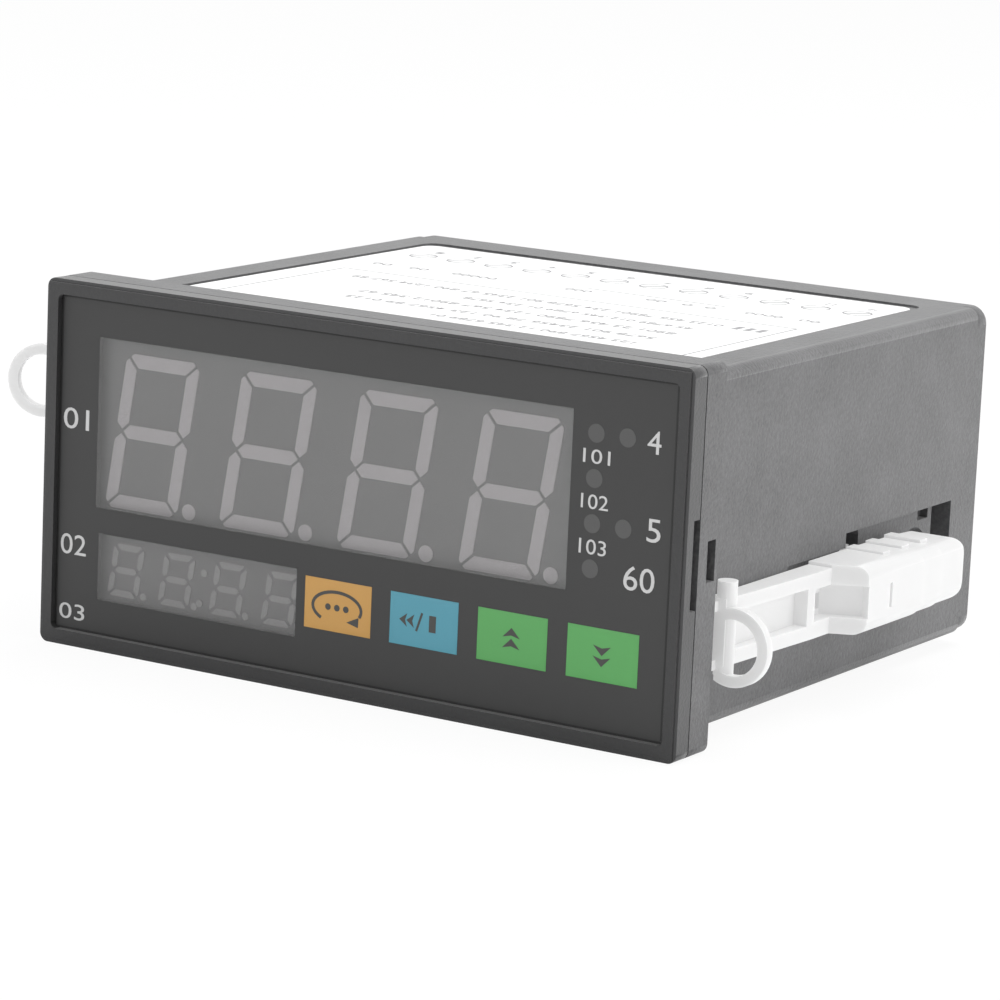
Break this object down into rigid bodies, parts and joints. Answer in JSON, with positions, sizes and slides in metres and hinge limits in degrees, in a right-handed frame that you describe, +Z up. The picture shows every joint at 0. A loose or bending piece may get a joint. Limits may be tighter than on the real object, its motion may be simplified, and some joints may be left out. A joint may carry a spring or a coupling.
{
  "type": "panel weighing indicator",
  "caption": "Panel-mount weighing indicator in a grey plastic case, with digit displays, coloured film keys and white side clamps, one swung out.",
  "frame": {"origin": "middle of the flange face that seats on the panel", "axes": "+X to the right seen from the front, +Y to the back of the case, +Z up"},
  "size_m": [0.1162, 0.0837, 0.048],
  "materials": {
    "case_plastic": "fine spark texture",
    "front_plastic": "fine spark texture",
    "film_print": "fine velvet film",
    "window_grey": "smoke grey",
    "display_grey": "satin",
    "segment_white": "diffusing",
    "label_white": "satin film",
    "plated_steel": "nickel plated",
    "core_steel": "varnished laminations",
    "contact_brass": "plated",
    "board_green": "solder mask",
    "part_black": "moulded",
    "part_white": "moulded",
    "can_sleeve": "shrunk sleeve",
    "winding_tape": "taped",
    "disc_blue": "dipped",
    "key_ochre": "printed film",
    "key_blue": "printed film",
    "key_green": "printed film",
    "clamp_nylon": "natural nylon, slightly translucent"
  },
  "bodies": {
    "case": {"case_shell": "case_plastic", "rating_label": "label_white", "terminal_block": "case_plastic", "rear_cover_screws": "plated_steel", "terminal_contacts_upper": "contact_brass", "terminal_contacts_lower": "contact_brass", "terminal_screws_upper": "plated_steel", "terminal_screws_lower": "plated_steel", "terminal_plates_upper": "plated_steel", "terminal_plates_lower": "plated_steel"},
    "front_module": {"front_bezel": "front_plastic", "overlay_film": "film_print", "main_lens": "window_grey", "small_lens": "window_grey", "main_display_housing": "display_grey", "main_display_segments": "segment_white", "small_display_housing": "display_grey", "small_display_segments": "segment_white", "indicator_lamps": "window_grey", "lamp_holder": "part_black", "display_board": "board_green", "key_switch_bodies": "part_black", "power_board": "board_green", "signal_board": "board_green", "power_connector": "part_black", "signal_connector": "part_black", "power_blades": "contact_brass", "signal_blades": "contact_brass", "transformer_core": "core_steel", "transformer_winding": "winding_tape", "alarm_relays": "part_white", "main_capacitor": "can_sleeve", "small_capacitors": "can_sleeve", "mains_fuse": "part_white", "surge_disc": "disc_blue", "bridge_rectifier": "part_black", "voltage_regulator": "part_black", "control_chip": "part_black", "converter_chip": "part_black", "display_driver": "part_black", "timing_crystal": "plated_steel", "signal_couplers": "part_white", "calibration_trimmer": "disc_blue"},
    "button_set": {"key_set": "key_ochre", "plunger_set": "part_black"},
    "button_shift": {"key_shift": "key_blue", "plunger_shift": "part_black"},
    "button_up": {"key_up": "key_green", "plunger_up": "part_black"},
    "button_down": {"key_down": "key_green", "plunger_down": "part_black"},
    "shoe_right": {"pivot_shoe_right": "clamp_nylon"},
    "grip_right": {"clamp_right": "clamp_nylon"},
    "shoe_left": {"pivot_shoe_left": "clamp_nylon"},
    "grip_left": {"clamp_left": "clamp_nylon"}
  },
  "joints": [
    {"name": "module_draw", "type": "slide", "parent": "case", "child": "front_module", "axis": [0, -1, 0], "range_m": [0, 0.06]},
    {"name": "press_set", "type": "slide", "parent": "front_module", "child": "button_set", "axis": [0, 1, 0], "range_m": [0, 0.0003], "stiffness_N_per_m": 4000},
    {"name": "press_shift", "type": "slide", "parent": "front_module", "child": "button_shift", "axis": [0, 1, 0], "range_m": [0, 0.0003], "stiffness_N_per_m": 4000},
    {"name": "press_up", "type": "slide", "parent": "front_module", "child": "button_up", "axis": [0, 1, 0], "range_m": [0, 0.0003], "stiffness_N_per_m": 4000},
    {"name": "press_down", "type": "slide", "parent": "front_module", "child": "button_down", "axis": [0, 1, 0], "range_m": [0, 0.0003], "stiffness_N_per_m": 4000},
    {"name": "clamp_slide_right", "type": "slide", "parent": "case", "child": "shoe_right", "axis": [0, 1, 0], "range_m": [0, 0.009]},
    {"name": "clamp_swing_right", "type": "hinge", "parent": "shoe_right", "child": "grip_right", "pos_m": [0.0419, 0.0512, -0.0096], "axis": [0, 0, 1], "range_deg": [0, 8.6]},
    {"name": "clamp_slide_left", "type": "slide", "parent": "case", "child": "shoe_left", "axis": [0, 1, 0], "range_m": [0, 0.009]},
    {"name": "clamp_swing_left", "type": "hinge", "parent": "shoe_left", "child": "grip_left", "pos_m": [-0.0419, 0.0512, 0.0096], "axis": [0, 0, 1], "range_deg": [0, 8.6]}
  ]
}
